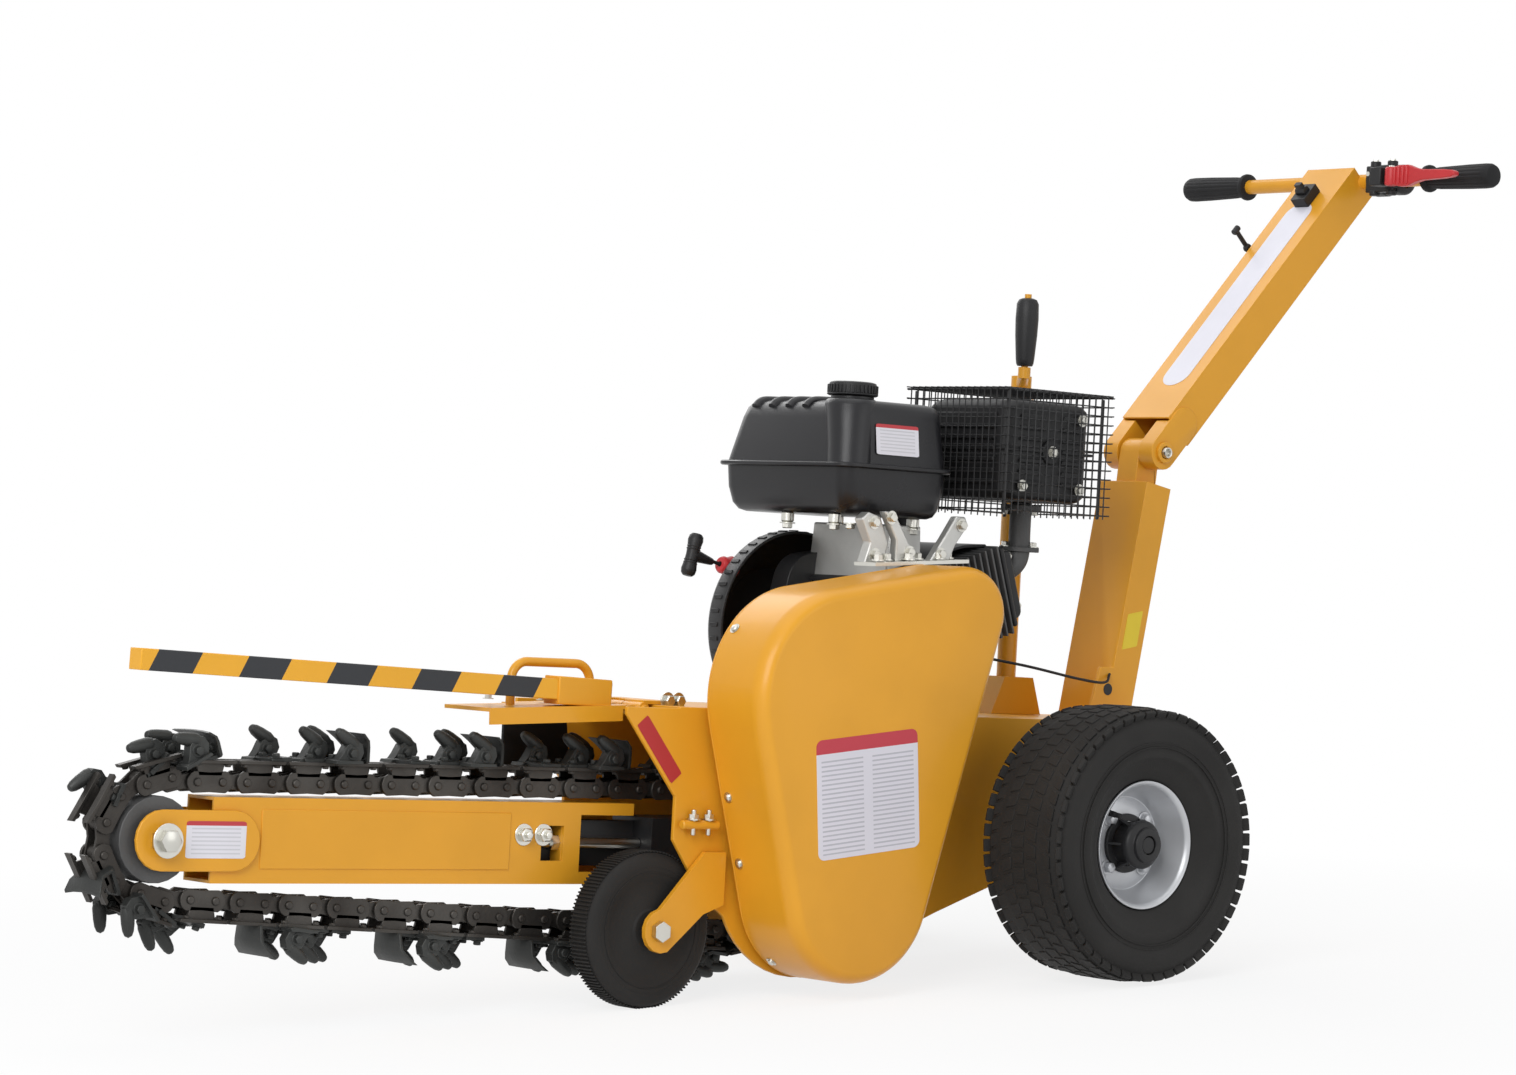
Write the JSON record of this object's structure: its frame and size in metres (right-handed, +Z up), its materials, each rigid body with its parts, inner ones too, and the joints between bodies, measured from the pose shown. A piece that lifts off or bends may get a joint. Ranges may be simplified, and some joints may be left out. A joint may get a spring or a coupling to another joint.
{
  "type": "walk-behind chain trencher",
  "caption": "Walk-behind chain trencher: engine-driven digging boom with claw chain, belt cover, hinged guard, crank depth lift, rear wheels and folding handle.",
  "frame": {"origin": "centre of the machine's footprint on the ground", "axes": "+X towards the operator's handle, +Y to the side away from the belt cover, +Z up"},
  "size_m": [2.287, 0.752, 1.1533],
  "materials": {
    "orange_paint": "gloss enamel",
    "black_paint": "satin enamel",
    "hazard_paint": "striped enamel",
    "chain_steel": "dark oiled steel",
    "zinc": "zinc plated",
    "cast_alloy": "cast",
    "cast_iron": "cast",
    "rim_silver": "silver paint",
    "tyre_rubber": "treaded",
    "rubber": "matte",
    "black_plastic": "moulded",
    "tank_plastic": "semi gloss",
    "red_plastic": "moulded"
  },
  "bodies": {
    "chassis": {"frame": "orange_paint", "rear_axle": "zinc", "front_wheel_arm": "orange_paint", "front_wheel_bolt": "zinc", "headshaft_bearing_near": "cast_alloy", "headshaft_bearing_far": "cast_alloy", "mast": "orange_paint", "fold_pin": "zinc", "belt_cover": "orange_paint", "cover_back_plate": "black_paint", "jackshaft_bearing": "cast_alloy", "engine_block": "cast_alloy", "fan_shroud": "black_plastic", "fuel_tank": "tank_plastic", "muffler": "black_paint", "muffler_cage": "black_paint", "exhaust_pipe": "black_paint", "air_cleaner": "black_plastic", "screw_column": "orange_paint", "guard_bracket": "orange_paint", "drive_belt": "rubber", "roller_chain": "zinc"},
    "rear_wheel_near": {"rear_tyre_near": "tyre_rubber", "rear_rim_near": "rim_silver"},
    "rear_wheel_far": {"rear_tyre_far": "tyre_rubber", "rear_rim_far": "rim_silver"},
    "front_roller": {"front_wheel": "rubber"},
    "boom": {"boom_arm": "black_paint", "digging_chain": "chain_steel", "tension_rod": "zinc"},
    "boom_slider": {"boom_beam": "orange_paint", "nose_plate_near": "orange_paint", "nose_plate_far": "orange_paint", "nose_bolt": "zinc"},
    "nose_wheel": {"nose_roller": "cast_iron"},
    "engine_output": {"engine_pulley": "cast_iron"},
    "jack_drive": {"driven_pulley": "cast_iron", "jackshaft": "zinc"},
    "chain_drive": {"headshaft": "zinc", "drive_sprocket": "cast_iron"},
    "belt_tensioner": {"tension_arm": "zinc"},
    "idler": {"idler_pulley": "black_plastic"},
    "guard": {"guard_plate": "orange_paint", "hazard_bar": "hazard_paint", "rubber_flap": "rubber"},
    "depth_crank": {"crank_arm": "orange_paint"},
    "depth_grip": {"crank_grip": "black_plastic"},
    "depth_nut": {"lift_nut": "zinc"},
    "rocker": {"bell_crank": "zinc"},
    "lift_link": {"link_rod": "zinc"},
    "handle": {"handle_beam": "orange_paint", "hand_grip_near": "rubber", "hand_grip_far": "rubber", "control_clamp": "black_plastic", "switch_box": "black_plastic"},
    "lever": {"drive_lever": "red_plastic"},
    "throttle": {"throttle_lever": "black_plastic"},
    "switch": {"stop_switch": "black_plastic"},
    "starter": {"recoil_handle": "black_plastic"},
    "cap": {"fuel_cap": "tank_plastic"}
  },
  "joints": [
    {"name": "rear_wheel_near_spin", "type": "hinge", "parent": "chassis", "child": "rear_wheel_near", "pos_m": [0.35237, -0.3, 0.1905], "axis": [0, 1, 0], "continuous": true},
    {"name": "rear_wheel_far_spin", "type": "hinge", "parent": "chassis", "child": "rear_wheel_far", "pos_m": [0.35237, 0.3, 0.1905], "axis": [0, 1, 0], "continuous": true},
    {"name": "front_wheel_spin", "type": "hinge", "parent": "chassis", "child": "front_roller", "pos_m": [-0.31937, -0.09, 0.103], "axis": [0, 1, 0], "continuous": true},
    {"name": "boom_lift", "type": "hinge", "parent": "chassis", "child": "boom", "pos_m": [-0.0661, 0, 0.16964], "axis": [0, -1, 0], "range_deg": [0, 55]},
    {"name": "chain_tension", "type": "slide", "parent": "boom", "child": "boom_slider", "axis": [0.9976, 0, -0.0698], "range_m": [0, 0.02]},
    {"name": "nose_wheel_spin", "type": "hinge", "parent": "boom_slider", "child": "nose_wheel", "pos_m": [-1.0217, 0, 0.25902], "axis": [0, 1, 0], "continuous": true},
    {"name": "engine_spin", "type": "hinge", "parent": "chassis", "child": "engine_output", "pos_m": [0.13469, 0, 0.47498], "axis": [0, 1, 0], "continuous": true},
    {"name": "jackshaft_spin", "type": "hinge", "parent": "chassis", "child": "jack_drive", "pos_m": [-0.08727, 0, 0.41171], "axis": [0, 1, 0], "continuous": true},
    {"name": "headshaft_spin", "type": "hinge", "parent": "chassis", "child": "chain_drive", "pos_m": [-0.0661, 0, 0.16964], "axis": [0, 1, 0], "continuous": true},
    {"name": "tension_arm_swing", "type": "hinge", "parent": "chassis", "child": "belt_tensioner", "pos_m": [0.00961, -0.15, 0.23452], "axis": [0, -1, 0], "range_deg": [0, 3.15]},
    {"name": "idler_spin", "type": "hinge", "parent": "belt_tensioner", "child": "idler", "pos_m": [0.09011, -0.15, 0.33916], "axis": [0, 1, 0], "continuous": true},
    {"name": "guard_hinge", "type": "hinge", "parent": "chassis", "child": "guard", "pos_m": [-0.29228, 0, 0.38995], "axis": [0, 1, 0], "range_deg": [0, 80]},
    {"name": "crank_spin", "type": "hinge", "parent": "chassis", "child": "depth_crank", "pos_m": [0.53668, 0.09, 0.81917], "axis": [0.0698, 0, 0.9976], "range_deg": [0, 2640]},
    {"name": "crank_grip_spin", "type": "hinge", "parent": "depth_crank", "child": "depth_grip", "pos_m": [0.50236, 0.044, 0.88172], "axis": [0.0698, 0, 0.9976], "continuous": true},
    {"name": "lift_nut_slide", "type": "slide", "parent": "chassis", "child": "depth_nut", "axis": [0.0698, 0, 0.9976], "range_m": [-0.0005, 0.0735]},
    {"name": "bell_crank_swing", "type": "hinge", "parent": "chassis", "child": "rocker", "pos_m": [0.42499, 0.068, 0.22552], "axis": [0, -1, 0], "range_deg": [0, 55]},
    {"name": "link_swing", "type": "hinge", "parent": "rocker", "child": "lift_link", "pos_m": [0.47202, 0.078, 0.30226], "axis": [0, -1, 0], "range_deg": [-55, 0]},
    {"name": "handle_fold", "type": "hinge", "parent": "chassis", "child": "handle", "pos_m": [0.69015, 0, 0.72023], "axis": [0, 1, 0], "range_deg": [-20, 80]},
    {"name": "drive_lever_squeeze", "type": "hinge", "parent": "handle", "child": "lever", "pos_m": [1.0717, -0.146, 1.13061], "axis": [0.0698, 0, 0.9976], "range_deg": [0, 9], "stiffness_Nm_per_rad": 6, "springref_deg": -11.46},
    {"name": "throttle_swing", "type": "hinge", "parent": "handle", "child": "throttle", "pos_m": [0.99426, 0.06, 1.00991], "axis": [0, 1, 0], "range_deg": [-25, 25]},
    {"name": "stop_switch_rock", "type": "hinge", "parent": "handle", "child": "switch", "pos_m": [1.03397, 0, 1.11321], "axis": [0, 1, 0], "range_deg": [-12, 12]},
    {"name": "recoil_pull", "type": "slide", "parent": "chassis", "child": "starter", "axis": [-0.9587, 0, 0.2845], "range_m": [0, 0.5], "stiffness_N_per_m": 40, "springref_m": -0.25},
    {"name": "fuel_cap_turn", "type": "hinge", "parent": "chassis", "child": "cap", "pos_m": [0.10493, -0.03, 0.80927], "axis": [0.0698, 0, 0.9976], "range_deg": [0, 90]}
  ],
  "couplings": [
    {"joint": "bell_crank_swing", "follows": "boom_lift", "ratio": 1},
    {"joint": "link_swing", "follows": "boom_lift", "ratio": -1},
    {"joint": "lift_nut_slide", "follows": "boom_lift", "m_per_rad": 0.075921},
    {"joint": "crank_spin", "follows": "boom_lift", "ratio": 47.703},
    {"joint": "engine_spin", "follows": "jackshaft_spin", "ratio": 2.875},
    {"joint": "headshaft_spin", "follows": "jackshaft_spin", "ratio": 0.35714},
    {"joint": "nose_wheel_spin", "follows": "jackshaft_spin", "ratio": 0.47619},
    {"joint": "tension_arm_swing", "follows": "drive_lever_squeeze", "ratio": 0.35}
  ]
}
